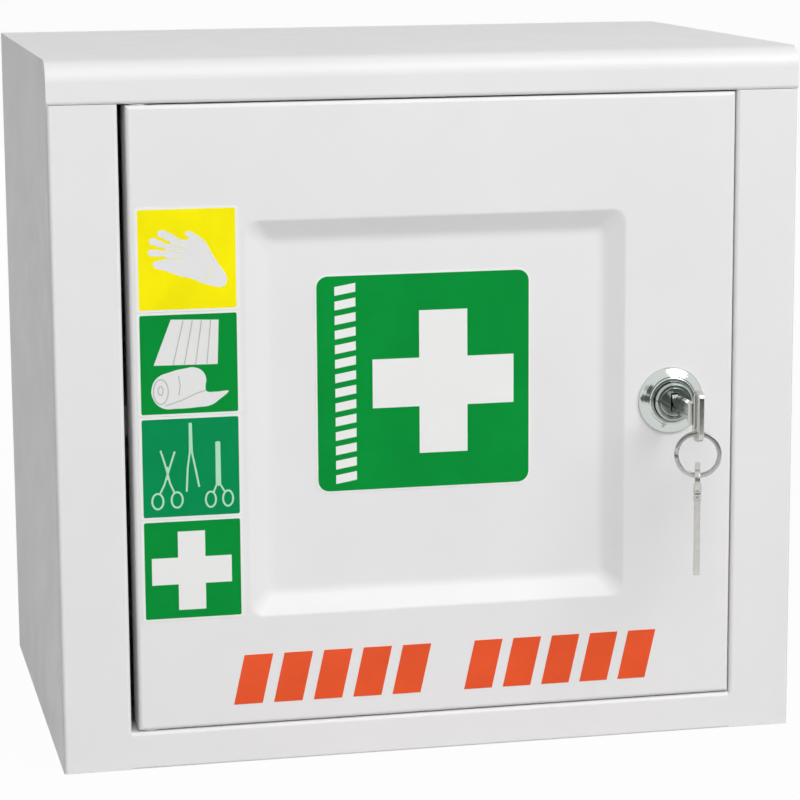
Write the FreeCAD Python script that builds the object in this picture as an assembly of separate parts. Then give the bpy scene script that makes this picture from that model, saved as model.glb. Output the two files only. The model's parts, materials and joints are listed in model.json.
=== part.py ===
import FreeCAD, Part
import math
import os

# A small lockable wall cabinet of folded sheet steel, with one flush door.
# X runs from left to right as seen from the front, Y from the front to the wall, Z up.
# The origin is the middle of the four wall holes, on the rear face. Lengths are millimetres.

# Body of the cabinet
cabinet_width = 300.0
cabinet_height = 280.0
cabinet_depth = 200.0
sheet = 1.0
bend_inner_radius = 0.6
nose_radius = 8.0
strip_height = 17.0
sill_height = 15.0
hinge_post_width = 27.0
lock_post_width = 25.5
header_depth = 17.0
stop_width = 9.0
flange_width = 12.0
flange_end_gap = 10.0
wall_hole_spacing_x = 220.0
wall_hole_spacing_z = 200.0
wall_hole_radius = 3.25

# Shelf and its brackets
shelf_height = 140.0
shelf_side_gap = 1.0
shelf_front_gap = 35.0
shelf_rear_gap = 1.5
shelf_fold = 12.0
bracket_leg = 14.0
bracket_length = 15.0
bracket_end_gap = 14.0

# Door
door_thickness = 15.0
door_hinge_gap = 3.0
door_lock_gap = 0.6
door_top_gap = 0.6
door_bottom_gap = 0.6
door_lip = 8.0
buffer_radius = 4.0
buffer_thickness = 1.7
buffer_seat_gap = 0.3
buffer_from_end = 30.0

# Pressed-in square of the door
recess_side_margin = 44.6
recess_top_margin = 44.8
recess_bottom_margin = 43.0
recess_depth = 5.0
recess_corner_radius = 5.5
recess_floor_corner_radius = 3.0
recess_slope_degrees = 30.0
recess_rim_radius = 2.5
recess_floor_radius = 8.0
recess_bend_steps = 6

# Hinges
hinge_inset_x = 5.0
hinge_inset_y = 5.0
hinge_plate_length = 30.0
hinge_plate_depth = 12.0
hinge_plate_thickness = 2.0
pin_radius = 2.0
pin_head_radius = 3.5
pin_head_height = 1.5
pin_clearance = 0.05
bush_radius = 3.0
bush_flange_radius = 4.0
bush_flange_height = 0.35
bush_tail = 1.5
pin_tail = 0.5

# Cam lock
lock_from_door_edge = 26.1
lock_barrel_radius = 9.0
lock_barrel_length = 18.7
lock_flat_width = 16.0
lock_flange_radius = 10.5
lock_flange_height = 1.2
lock_head_radius = 7.8
lock_head_height = 6.0
lock_head_chamfer = 0.7
rosette_radius = 13.5
rosette_height = 3.4
rosette_wall = 0.9
rosette_rim_height = 1.2
rosette_clearance = 0.15
washer_radius = 11.8
washer_thickness = 1.0
nut_across_flats = 22.0
nut_thickness = 4.0
plug_radius = 6.0
plug_clearance = 0.05
plug_face_inset = 0.3
plug_cap_radius = 5.4
plug_step = 0.3
plug_rear_gap = 0.3
boss_width = 7.0
cam_boss_clearance = 0.05
cam_thickness = 2.0
cam_width = 13.0
cam_length = 29.0
cam_screw_radius = 2.0
cam_screw_length = 8.0
cam_washer_radius = 5.5
cam_washer_thickness = 1.0
cam_screw_across_flats = 8.0
cam_screw_head_height = 3.0

# Keys
key_thickness = 2.6
key_bow_length = 9.0
key_bow_width = 20.5
key_bow_corner = 3.6
key_slot_width = 3.4
key_slot_edge = 2.0
key_slot_corner = 0.6
key_bow_thickness = 2.2
key_collar_length = 4.0
key_collar_width = 9.0
key_collar_thickness = 3.2
key_collar_groove_depth = 0.35
key_collar_groove_width = 0.7
key_blade_length = 31.0
key_blade_width = 7.0
key_tip_chamfer = 2.0
key_in_plug = 9.0
key_cut_depth_shares = (0.16, 0.26, 0.10, 0.22, 0.14)
key_cut_pitch = 2.6
key_cut_from_tip = 3.4
key_cut_flat = 0.9
keyway_side_gap = 0.25
keyway_edge_gap = 0.3
keyway_end_gap = 0.4

# Key ring
ring_radius = 9.3
ring_wire = 1.8
ring_wire_corner = 0.4
ring_groove = 0.25
ring_hang_gap = 0.3
ring_turn_degrees = 18.5

# Labels and marks on the door
label_thickness = 0.2
large_label_left_margin = 28.7
large_label_right_margin = 38.6
large_label_bottom_margin = 48.2
large_label_top_margin = 23.4
large_label_corner = 5.0
small_label_door_margin = 2.2
small_label_recess_margin = 1.7
small_label_gap = 0.2
small_label_count = 4
small_label_corner = 1.4
label_column_bottom_margin = 44.3
label_column_top_margin = 39.1
mark_height = 20.0
mark_gap = 4.6
mark_group_gap = 18.1
mark_lean = 4.5
mark_count = 5
mark_left_margin = 38.0
mark_right_margin = 31.5
mark_bottom_margin = 8.4

# How far a cutting tool runs past the piece that it cuts, and how near two points count as one
overrun = 1.0
same_point = 0.001

# Places that follow from the sizes above
left = -cabinet_width / 2
right = cabinet_width / 2
bottom = -cabinet_height / 2
top = cabinet_height / 2
front = -cabinet_depth
rear = -sheet
bend_outer_radius = bend_inner_radius + sheet
strip_bottom = top - strip_height
sill_top = bottom + sill_height
opening_left = left + hinge_post_width
opening_right = right - lock_post_width

door_left = opening_left + door_hinge_gap
door_right = opening_right - door_lock_gap
door_bottom = sill_top + door_bottom_gap
door_top = strip_bottom - door_top_gap
door_rear = front + door_thickness
stop_face = door_rear + buffer_seat_gap + buffer_thickness
recess_left = door_left + recess_side_margin
recess_right = door_right - recess_side_margin
recess_bottom = door_bottom + recess_bottom_margin
recess_top = door_top - recess_top_margin
recess_floor = front + recess_depth

hinge_x = door_left + hinge_inset_x
hinge_y = front + hinge_inset_y

lock_x = door_right - lock_from_door_edge
lock_z = (door_bottom + door_top) / 2
barrel_end = front + lock_barrel_length
cam_face = barrel_end + plug_rear_gap
plug_face = front - lock_head_height + plug_face_inset

key_tip = plug_face + key_in_plug
key_length = key_bow_length + key_collar_length + key_blade_length
key_end = key_tip - key_length
slot_length = key_bow_width - 2 * key_slot_edge
slot_middle_from_end = key_bow_length / 2
wire_half = ring_wire / 2
ring_middle_radius = ring_radius - wire_half
ring_y = key_end + slot_middle_from_end
ring_top_z = lock_z - slot_length / 2 + ring_hang_gap + wire_half
ring_z = ring_top_z - ring_middle_radius
ring_bottom_z = ring_z - ring_middle_radius
spare_end_z = (ring_bottom_z + wire_half + ring_hang_gap
               + slot_middle_from_end - key_slot_width / 2)

AXIS_X = FreeCAD.Vector(1, 0, 0)
AXIS_Y = FreeCAD.Vector(0, 1, 0)
AXIS_Z = FreeCAD.Vector(0, 0, 1)


def point(axis, along, a, b):
    """A point whose place along the axis is given first, then its two other coordinates in order."""
    if axis == "X":
        return FreeCAD.Vector(along, a, b)
    if axis == "Y":
        return FreeCAD.Vector(a, along, b)
    return FreeCAD.Vector(a, b, along)


def rounded_face(corners, axis, along):
    """A flat face square to the axis. Each corner is (a, b, radius)."""
    starts, middles, ends = [], [], []
    for index, (a, b, radius) in enumerate(corners):
        here = FreeCAD.Vector(a, b, 0)
        last = corners[index - 1]
        following = corners[(index + 1) % len(corners)]
        back = (FreeCAD.Vector(last[0], last[1], 0) - here).normalize()
        onward = (FreeCAD.Vector(following[0], following[1], 0) - here).normalize()
        half_angle = back.getAngle(onward) / 2
        if radius == 0:
            starts.append(here)
            middles.append(None)
            ends.append(here)
            continue
        reach = radius / math.tan(half_angle)
        inward = (back + onward).normalize()
        to_centre = radius / math.sin(half_angle)
        starts.append(here + back * reach)
        middles.append(here + inward * (to_centre - radius))
        ends.append(here + onward * reach)
    edges = []
    for index in range(len(corners)):
        start, middle, end = starts[index], middles[index], ends[index]
        if middle is not None:
            arc = Part.Arc(*(point(axis, along, p.x, p.y) for p in (start, middle, end)))
            edges.append(arc.toShape())
        ahead = starts[(index + 1) % len(corners)]
        if not end.isEqual(ahead, same_point):
            edges.append(Part.makeLine(point(axis, along, end.x, end.y),
                                       point(axis, along, ahead.x, ahead.y)))
    return Part.Face(Part.Wire(edges))


def prism(corners, axis, low, high):
    """A rounded outline drawn square to the axis and pulled from low to high along it."""
    pull = {"X": AXIS_X, "Y": AXIS_Y, "Z": AXIS_Z}[axis] * (high - low)
    return rounded_face(corners, axis, low).extrude(pull)


def rectangle(a0, a1, b0, b1, radius=0.0):
    return [(a0, b0, radius), (a1, b0, radius), (a1, b1, radius), (a0, b1, radius)]


def block(x0, x1, y0, y1, z0, z1):
    return Part.makeBox(x1 - x0, y1 - y0, z1 - z0, FreeCAD.Vector(x0, y0, z0))


def rod(radius, start, end):
    """A round bar from one point to another."""
    run = end - start
    return Part.makeCylinder(radius, run.Length, start, run)


def bent_strip(path, wall, radii=None):
    """Corners of a folded sheet's section. The path is one surface of the sheet, open at both ends,
    and the wall lies on its left if positive, else on its right. Each bend has its inner radius in radii."""
    if radii is None:
        radii = [bend_inner_radius] * (len(path) - 2)
    thickness = abs(wall)
    side = math.copysign(1, wall)
    surface, other = [], []
    for index, (a, b) in enumerate(path):
        normals = []
        for first, second in ((index - 1, index), (index, index + 1)):
            if first < 0 or second >= len(path):
                continue
            run_a = path[second][0] - path[first][0]
            run_b = path[second][1] - path[first][1]
            run = math.hypot(run_a, run_b)
            normals.append((-run_b / run, run_a / run))
        if len(normals) == 1:
            shift_a, shift_b = normals[0]
            near = far = 0.0
        else:
            (na, nb), (ma, mb) = normals
            share = 1 + na * ma + nb * mb
            shift_a, shift_b = (na + ma) / share, (nb + mb) / share
            turn = na * mb - nb * ma
            inner = radii[index - 1]
            outer = inner + thickness
            near, far = (outer, inner) if turn * side > 0 else (inner, outer)
        surface.append((a, b, near))
        other.append((a + shift_a * wall, b + shift_b * wall, far))
    return surface + other[::-1]


def fuse(*solids):
    joined = solids[0].multiFuse(list(solids[1:]))
    return joined.removeSplitter()


def save(name, *solids):
    """Write one piece, or a group of like pieces, to its own file."""
    flat = []
    for solid in solids:
        flat.extend(solid.Solids)
    shape = flat[0] if len(flat) == 1 else Part.makeCompound(flat)
    shape.exportStep("parts/" + name + ".step")
    print(name, "solids", len(flat), "volume", round(shape.Volume, 1), "valid", shape.isValid())


def side_panel(outer, inward, opening, has_stop):
    """One side of the body: outer sheet, front post, jamb fold, and flanges for the top, the back
    and, on the lock side, the stop that the door's buffers meet. inward is +1 on the left side."""
    wall = sheet * inward
    jamb_end = stop_face if has_stop else front + header_depth
    path = [(outer, rear), (outer, front), (opening, front), (opening, jamb_end)]
    if has_stop:
        path.append((opening - stop_width, jamb_end))
        sheet_side = -sheet
    else:
        sheet_side = sheet
    upper = prism(bent_strip(path, sheet_side), "Z", sill_top, strip_bottom)
    foot_path = [(outer, rear), (outer, front), (opening, front)]
    foot = prism(bent_strip(foot_path, sheet_side), "Z", bottom, sill_top)
    end_low, end_high = sorted((outer, outer + wall))
    end_corners = [(front + sheet, strip_bottom, 0), (rear, strip_bottom, 0), (rear, top - sheet, 0),
                   (front + sheet, top - sheet, nose_radius - sheet)]
    end = prism(end_corners, "X", end_low, end_high)
    low, high = sorted((outer + wall, outer + flange_width * inward))
    top_flange = block(low, high, front + flange_width, rear - flange_end_gap,
                       top - 2 * sheet, top - sheet)
    back_flange = block(low, high, rear - sheet, rear, bottom + flange_width, top - flange_width)
    return fuse(upper, foot, end, top_flange, back_flange)


def top_panel():
    """Top sheet with its rear flange, rolled nose, front strip and header fold."""
    path = [(rear, top - flange_width), (rear, top), (front, top), (front, strip_bottom),
            (front + header_depth, strip_bottom)]
    radii = [bend_inner_radius, nose_radius - sheet, bend_inner_radius]
    panel = prism(bent_strip(path, sheet, radii), "X", left, right)
    for low, high in ((left - overrun, left + sheet), (right - sheet, right + overrun)):
        header_notch = block(low, high, front + sheet, front + header_depth + overrun,
                             strip_bottom - overrun, strip_bottom + bend_outer_radius)
        rear_notch = block(low, high, rear - bend_outer_radius, rear + overrun,
                           top - flange_width - overrun, top - sheet)
        panel = panel.cut(header_notch).cut(rear_notch)
    hole = rod(pin_radius, FreeCAD.Vector(hinge_x, hinge_y, strip_bottom - overrun),
               FreeCAD.Vector(hinge_x, hinge_y, strip_bottom + sheet + overrun))
    return panel.cut(hole)


def bottom_panel():
    """Floor sheet with its front rail, sill fold and upturned flanges."""
    path = [(front + flange_width, bottom), (front, bottom), (front, sill_top),
            (front + header_depth, sill_top)]
    rail = prism(bent_strip(path, -sheet, [0.0, bend_inner_radius]), "X", opening_left, opening_right)
    floor = prism([(left + sheet, front + sheet, bend_inner_radius),
                   (right - sheet, front + sheet, bend_inner_radius),
                   (right - sheet, rear, 0), (left + sheet, rear, 0)], "Z", bottom, bottom + sheet)
    rear_flange = block(left + flange_width, right - flange_width, rear - sheet, rear,
                        bottom, bottom + flange_width)
    pieces = [rail, floor, rear_flange]
    for low, high in ((left + sheet, left + 2 * sheet), (right - 2 * sheet, right - sheet)):
        pieces.append(block(low, high, front + flange_width, rear - flange_width,
                            bottom, bottom + flange_width))
    hole = rod(pin_radius, FreeCAD.Vector(hinge_x, hinge_y, sill_top - sheet - overrun),
               FreeCAD.Vector(hinge_x, hinge_y, sill_top + overrun))
    return fuse(*pieces).cut(hole)


def back_panel():
    panel = block(left, right, rear, 0.0, bottom, top)
    for side_x in (-1, 1):
        for side_z in (-1, 1):
            x = side_x * wall_hole_spacing_x / 2
            z = side_z * wall_hole_spacing_z / 2
            panel = panel.cut(rod(wall_hole_radius, FreeCAD.Vector(x, rear - overrun, z),
                                  FreeCAD.Vector(x, overrun, z)))
    return panel


def shelf():
    """Shelf sheet with its front and rear edges folded down."""
    shelf_top = bottom + shelf_height
    shelf_front = front + shelf_front_gap
    shelf_rear = rear - sheet - shelf_rear_gap
    path = [(shelf_rear, shelf_top - shelf_fold), (shelf_rear, shelf_top),
            (shelf_front, shelf_top), (shelf_front, shelf_top - shelf_fold)]
    reach = cabinet_width / 2 - sheet - shelf_side_gap
    return prism(bent_strip(path, sheet), "X", -reach, reach)


def shelf_brackets():
    """Four angle brackets on the side sheets, under the shelf's corners."""
    seat = bottom + shelf_height - sheet
    shelf_front = front + shelf_front_gap
    shelf_rear = rear - sheet - shelf_rear_gap
    places = (shelf_front + bracket_end_gap, shelf_rear - bracket_end_gap - bracket_length)
    brackets = []
    for outer, inward in ((left + sheet, 1), (right - sheet, -1)):
        path = [(outer, seat - bracket_leg), (outer, seat), (outer + bracket_leg * inward, seat)]
        for start in places:
            corners = bent_strip(path, -sheet * inward)
            brackets.append(prism(corners, "Y", start, start + bracket_length))
    return brackets


def hinge_plate(seat, away, hole_radius, x_low, y_low):
    """A flat plate with the hinge's hole. It lies on the seat level, on the side away (+1 or -1)."""
    low, high = sorted((seat, seat + hinge_plate_thickness * away))
    plate = block(x_low, x_low + hinge_plate_length, y_low, y_low + hinge_plate_depth, low, high)
    hole = rod(hole_radius, FreeCAD.Vector(hinge_x, hinge_y, low - overrun),
               FreeCAD.Vector(hinge_x, hinge_y, high + overrun))
    return plate.cut(hole)


def hinge_pin(frame_level, away):
    """A headed pin: the head on the frame's hinge plate, the shank reaching into the door's bush.
    away (+1 or -1) points from the door into the frame."""
    head_seat = frame_level + (sheet + hinge_plate_thickness) * away
    door_gap = door_top_gap if away > 0 else door_bottom_gap
    bush_end = door_gap + sheet + hinge_plate_thickness + bush_tail
    tip = frame_level - (bush_end + pin_tail) * away
    shank = rod(pin_radius, FreeCAD.Vector(hinge_x, hinge_y, tip),
                FreeCAD.Vector(hinge_x, hinge_y, head_seat))
    head = rod(pin_head_radius, FreeCAD.Vector(hinge_x, hinge_y, head_seat),
               FreeCAD.Vector(hinge_x, hinge_y, head_seat + pin_head_height * away))
    return fuse(shank, head)


def hinge_bush(door_level, away):
    """A flanged bush in the door's fold. Its flange stands in the gap between door and frame."""
    inner_end = door_level - (sheet + hinge_plate_thickness + bush_tail) * away
    flange_end = door_level + bush_flange_height * away
    barrel = rod(bush_radius, FreeCAD.Vector(hinge_x, hinge_y, inner_end),
                 FreeCAD.Vector(hinge_x, hinge_y, door_level))
    flange = rod(bush_flange_radius, FreeCAD.Vector(hinge_x, hinge_y, door_level),
                 FreeCAD.Vector(hinge_x, hinge_y, flange_end))
    bore = rod(pin_radius + pin_clearance,
               FreeCAD.Vector(hinge_x, hinge_y, inner_end - overrun * away),
               FreeCAD.Vector(hinge_x, hinge_y, flange_end + overrun * away))
    return fuse(barrel, flange).cut(bore)


def recess_levels():
    """Points down the pressed slope, for the sheet's front and rear side. Each point is its distance in
    from the rim and its depth. It also returns the slope's whole run."""
    slope = math.radians(recess_slope_degrees)
    rim, floor = recess_rim_radius, recess_floor_radius
    slant = (recess_depth - (rim + floor) * (1 - math.cos(slope))) / math.sin(slope)
    run = (rim + floor) * math.sin(slope) + slant * math.cos(slope)
    turns = [slope * step / recess_bend_steps for step in range(recess_bend_steps + 1)]
    sides = []
    for rim_bend, floor_bend in ((rim, floor), (rim - sheet, floor + sheet)):
        upper = [(rim_bend * math.sin(turn), rim - rim_bend * math.cos(turn)) for turn in turns]
        lower = [(run - floor_bend * math.sin(turn), recess_depth - floor + floor_bend * math.cos(turn))
                 for turn in reversed(turns)]
        sides.append(upper + lower)
    return sides[0], sides[1], run


def pressed_square(levels, run):
    """The space of the pressed-in square, down to one side of its sheet. Its corners tighten with depth."""
    wires = []
    for inward, depth in levels:
        share = inward / run
        corner = recess_corner_radius * (1 - share) + recess_floor_corner_radius * share
        outline = rectangle(recess_left + inward, recess_right - inward,
                            recess_bottom + inward, recess_top - inward, corner)
        wires.append(rounded_face(outline, "Y", front + depth).OuterWire)
    return Part.makeLoft(wires, True, True)


def door_panel():
    """The door: a folded pan with lips behind, the pressed-in square, and holes for lock and hinges."""
    def pan(inset, y_low, y_high, radius):
        shape = block(door_left + inset, door_right - inset, y_low, y_high,
                      door_bottom + inset, door_top - inset)
        front_edges = [edge for edge in shape.Edges if edge.BoundBox.YMax < y_low + radius]
        return shape.makeFillet(radius, front_edges)

    shell = pan(0.0, front, door_rear, bend_outer_radius)
    hollow = pan(sheet, front + sheet, door_rear - sheet, bend_inner_radius)
    mouth = block(door_left + door_lip, door_right - door_lip, door_rear - sheet - overrun,
                  door_rear + overrun, door_bottom + door_lip, door_top - door_lip)
    shell = shell.cut(hollow).cut(mouth)
    near, far, run = recess_levels()
    shell = fuse(shell, pressed_square(far, run)).cut(pressed_square([(0.0, -overrun)] + near, run))
    lock_hole = rod(lock_barrel_radius, FreeCAD.Vector(lock_x, front - overrun, lock_z),
                    FreeCAD.Vector(lock_x, front + sheet + overrun, lock_z))
    shell = shell.cut(lock_hole)
    for level in (door_top, door_bottom):
        shell = shell.cut(rod(bush_radius, FreeCAD.Vector(hinge_x, hinge_y, level - sheet - overrun),
                              FreeCAD.Vector(hinge_x, hinge_y, level + sheet + overrun)))
    return shell


def door_buffers():
    """Two round rubber buffers on the stop flange's face."""
    x = opening_right - stop_width / 2
    buffers = []
    for z in (sill_top + buffer_from_end, strip_bottom - buffer_from_end):
        buffers.append(rod(buffer_radius, FreeCAD.Vector(x, stop_face - buffer_thickness, z),
                           FreeCAD.Vector(x, stop_face, z)))
    return buffers


def on_lock_axis(y):
    return FreeCAD.Vector(lock_x, y, lock_z)


def turned(points):
    """A solid turned round the lock's axis from (radius, y) points."""
    vertices = [FreeCAD.Vector(lock_x + radius, y, lock_z) for radius, y in points]
    face = Part.Face(Part.makePolygon(vertices + vertices[:1]))
    return face.revolve(on_lock_axis(front), AXIS_Y, 360)


def hexagon(across_flats, y_low, y_high):
    corner_radius = across_flats / math.sqrt(3)
    corners = []
    for index in range(6):
        angle = math.radians(60 * index)
        corners.append((lock_x + corner_radius * math.cos(angle),
                        lock_z + corner_radius * math.sin(angle), 0))
    return prism(corners, "Y", y_low, y_high)


def lock_body():
    """Round head, flange and flatted barrel of the cam lock, bored for the plug."""
    head_end = front - lock_head_height
    flange_front = front - lock_flange_height
    outline = [(0, head_end), (lock_head_radius - lock_head_chamfer, head_end),
               (lock_head_radius, head_end + lock_head_chamfer), (lock_head_radius, flange_front),
               (lock_flange_radius, flange_front), (lock_flange_radius, front),
               (lock_barrel_radius, front), (lock_barrel_radius, barrel_end), (0, barrel_end)]
    body = turned(outline)
    for side in (-1, 1):
        low, high = sorted((lock_x + side * lock_flat_width / 2,
                            lock_x + side * (lock_barrel_radius + overrun)))
        body = body.cut(block(low, high, front + sheet, barrel_end + overrun,
                              lock_z - lock_barrel_radius, lock_z + lock_barrel_radius))
    bore = rod(plug_radius + plug_clearance, on_lock_axis(head_end - overrun),
               on_lock_axis(barrel_end + overrun))
    return body.cut(bore)


def lock_rosette():
    """A pressed ring round the lock's head, hollow behind, with its rim on the door."""
    inner = lock_head_radius + rosette_clearance
    face = front - rosette_height
    rim_front = front - rosette_rim_height
    outline = [(rosette_radius, front), (rosette_radius, rim_front),
               (inner + rosette_wall, face), (inner, face),
               (inner, front - lock_flange_height - rosette_clearance),
               (inner + rosette_wall, front - lock_flange_height - rosette_clearance),
               (rosette_radius - rosette_wall, front - lock_flange_height - rosette_clearance),
               (rosette_radius - rosette_wall, front)]
    return turned(outline)


def lock_plug():
    """The turning core: face, keyway, a square boss behind for the cam and a hole for its screw."""
    outline = [(0, plug_face), (plug_cap_radius, plug_face), (plug_radius, plug_face + plug_step),
               (plug_radius, cam_face), (0, cam_face)]
    plug = turned(outline)
    half = boss_width / 2
    boss = block(lock_x - half, lock_x + half, cam_face, cam_face + cam_thickness,
                 lock_z - half, lock_z + half)
    half_x = key_thickness / 2 + keyway_side_gap
    half_z = key_blade_width / 2 + keyway_edge_gap
    keyway = block(lock_x - half_x, lock_x + half_x, plug_face - overrun, key_tip + keyway_end_gap,
                   lock_z - half_z, lock_z + half_z)
    hole = rod(cam_screw_radius, on_lock_axis(cam_face + cam_thickness - cam_screw_length),
               on_lock_axis(cam_face + cam_thickness + overrun))
    return fuse(plug, boss).cut(keyway).cut(hole)


def lock_cam():
    """The flat bar that locks behind the stop flange. It points up when the lock is open."""
    half = cam_width / 2
    corners = rectangle(lock_x - half, lock_x + half, lock_z - half, lock_z + cam_length, half / 2)
    cam = prism(corners, "Y", cam_face, cam_face + cam_thickness)
    hole_half = boss_width / 2 + cam_boss_clearance
    hole = block(lock_x - hole_half, lock_x + hole_half, cam_face - overrun,
                 cam_face + cam_thickness + overrun, lock_z - hole_half, lock_z + hole_half)
    return cam.cut(hole)


def cam_screw():
    """Hexagon screw with its washer, made in one, that holds the cam on the boss."""
    seat = cam_face + cam_thickness
    shank = rod(cam_screw_radius, on_lock_axis(seat - cam_screw_length), on_lock_axis(seat))
    washer = rod(cam_washer_radius, on_lock_axis(seat), on_lock_axis(seat + cam_washer_thickness))
    head = hexagon(cam_screw_across_flats, seat + cam_washer_thickness,
                   seat + cam_washer_thickness + cam_screw_head_height)
    return fuse(shank, washer, head)


def ring_of(radius, y_low, y_high):
    """A flat ring that fits on the lock's flatted barrel."""
    disc = rod(radius, on_lock_axis(y_low), on_lock_axis(y_high))
    return disc.cut(rod(lock_barrel_radius, on_lock_axis(y_low - overrun),
                        on_lock_axis(y_high + overrun)))


def lock_nut():
    low = front + sheet + washer_thickness
    high = low + nut_thickness
    nut = hexagon(nut_across_flats, low, high)
    return nut.cut(rod(lock_barrel_radius, on_lock_axis(low - overrun), on_lock_axis(high + overrun)))


def key_blank():
    """A flat key in its own frame: its length runs along +Y from the bow's end, its width along Z."""
    half_bow = key_bow_width / 2
    bow = prism(rectangle(0.0, key_bow_length, -half_bow, half_bow, key_bow_corner), "X",
                -key_bow_thickness / 2, key_bow_thickness / 2)
    slot_low = slot_middle_from_end - key_slot_width / 2
    slot = prism(rectangle(slot_low, slot_low + key_slot_width, -slot_length / 2, slot_length / 2,
                           key_slot_corner), "X", -key_bow_thickness, key_bow_thickness)
    collar_end = key_bow_length + key_collar_length
    half_collar = key_collar_thickness / 2
    collar = block(-half_collar, half_collar, key_bow_length - key_slot_edge / 2, collar_end,
                   -key_collar_width / 2, key_collar_width / 2)
    groove_low = (key_bow_length + collar_end - key_collar_groove_width) / 2
    for side in (-1, 1):
        low, high = sorted((side * (half_collar - key_collar_groove_depth),
                            side * (half_collar + overrun)))
        collar = collar.cut(block(low, high, groove_low, groove_low + key_collar_groove_width,
                                  -key_collar_width, key_collar_width))
    half_blade = key_blade_width / 2
    blade_corners = [(collar_end, -half_blade, 0), (key_length - key_tip_chamfer, -half_blade, 0),
                     (key_length, -half_blade + key_tip_chamfer, 0),
                     (key_length, half_blade - key_tip_chamfer, 0),
                     (key_length - key_tip_chamfer, half_blade, 0), (collar_end, half_blade, 0)]
    blade = prism(blade_corners, "X", -key_thickness / 2, key_thickness / 2)
    for index, share in enumerate(key_cut_depth_shares):
        middle = key_length - key_cut_from_tip - key_cut_pitch * index
        depth = share * key_blade_width
        cut_corners = [(middle - key_cut_flat / 2, half_blade - depth, 0),
                       (middle + key_cut_flat / 2, half_blade - depth, 0),
                       (middle + key_cut_flat / 2 + depth, half_blade, 0),
                       (middle - key_cut_flat / 2 - depth, half_blade, 0)]
        blade = blade.cut(prism(cut_corners, "X", -key_thickness, key_thickness))
    return fuse(bow.cut(slot), collar, blade)


def key():
    shape = key_blank()
    shape.translate(FreeCAD.Vector(lock_x, key_end, lock_z))
    return shape


def spare_key():
    """The blank hung blade down from the bottom of the ring, square to the ring's wire."""
    shape = key_blank()
    shape.rotate(FreeCAD.Vector(0, 0, 0), AXIS_X, -90)
    shape.rotate(FreeCAD.Vector(0, 0, 0), AXIS_Z, -ring_turn_degrees)
    shape.translate(FreeCAD.Vector(lock_x, ring_y, spare_end_z))
    return shape


def key_ring():
    """A split ring, drawn as its two coils side by side with the groove between them."""
    corner = ring_wire_corner
    inner = ring_middle_radius - wire_half
    outer = ring_middle_radius + wire_half
    section = rounded_face(rectangle(-wire_half, wire_half, inner, outer, corner), "X", 0.0)
    ring = section.revolve(FreeCAD.Vector(0, 0, 0), AXIS_Y, 360)
    half = ring_groove / 2
    for low, high in ((outer - ring_groove, outer + ring_groove),
                      (inner - ring_groove, inner + ring_groove)):
        groove = Part.makeCylinder(high, 2 * half, FreeCAD.Vector(0, -half, 0), AXIS_Y)
        core = Part.makeCylinder(low, 2 * half, FreeCAD.Vector(0, -half, 0), AXIS_Y)
        ring = ring.cut(groove.cut(core))
    ring.rotate(FreeCAD.Vector(0, 0, 0), AXIS_Z, -ring_turn_degrees)
    ring.translate(FreeCAD.Vector(lock_x, ring_y, ring_z))
    return ring


def large_label():
    """The label stuck on the floor of the pressed-in square."""
    outline = rectangle(recess_left + large_label_left_margin, recess_right - large_label_right_margin,
                        recess_bottom + large_label_bottom_margin, recess_top - large_label_top_margin,
                        large_label_corner)
    return prism(outline, "Y", recess_floor - label_thickness, recess_floor)


def small_label(row):
    """One of the column of labels between the door's hinge edge and the pressed-in square.
    Row 0 is the lowest."""
    column_bottom = door_bottom + label_column_bottom_margin
    column_height = door_top - label_column_top_margin - column_bottom
    pitch = (column_height + small_label_gap) / small_label_count
    low = column_bottom + row * pitch
    outline = rectangle(door_left + small_label_door_margin, recess_left - small_label_recess_margin,
                        low, low + pitch - small_label_gap, small_label_corner)
    return prism(outline, "Y", front - label_thickness, front)


def door_marks():
    """Two groups of slanted bars low on the door."""
    marks = []
    span = door_right - mark_right_margin - mark_lean - (door_left + mark_left_margin)
    group_width = (span - mark_group_gap) / 2
    pitch = (group_width + mark_gap) / mark_count
    low = door_bottom + mark_bottom_margin
    for group in range(2):
        for index in range(mark_count):
            x = door_left + mark_left_margin + group * (group_width + mark_group_gap) + index * pitch
            far = x + pitch - mark_gap
            corners = [(x, low, 0), (far, low, 0), (far + mark_lean, low + mark_height, 0),
                       (x + mark_lean, low + mark_height, 0)]
            marks.append(prism(corners, "Y", front - label_thickness, front))
    return marks


os.makedirs("parts", exist_ok=True)

save("left_side_panel", side_panel(left, 1, opening_left, False))
save("right_side_panel", side_panel(right, -1, opening_right, True))
save("top_panel", top_panel())
save("bottom_panel", bottom_panel())
save("back_panel", back_panel())
save("shelf", shelf())
save("shelf_brackets", *shelf_brackets())

frame_plate_y = front + sheet
door_plate_x = door_left + sheet
save("upper_frame_hinge_plate",
     hinge_plate(strip_bottom + sheet, 1, pin_radius, opening_left, frame_plate_y + bend_inner_radius))
save("lower_frame_hinge_plate",
     hinge_plate(sill_top - sheet, -1, pin_radius, opening_left, frame_plate_y + bend_inner_radius))
save("upper_hinge_pin", hinge_pin(strip_bottom, 1))
save("lower_hinge_pin", hinge_pin(sill_top, -1))

save("door_panel", door_panel())
save("upper_door_hinge_plate",
     hinge_plate(door_top - sheet, -1, bush_radius, door_plate_x + bend_inner_radius,
                 frame_plate_y + bend_inner_radius))
save("lower_door_hinge_plate",
     hinge_plate(door_bottom + sheet, 1, bush_radius, door_plate_x + bend_inner_radius,
                 frame_plate_y + bend_inner_radius))
save("upper_hinge_bush", hinge_bush(door_top, 1))
save("lower_hinge_bush", hinge_bush(door_bottom, -1))
save("door_buffers", *door_buffers())

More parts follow.
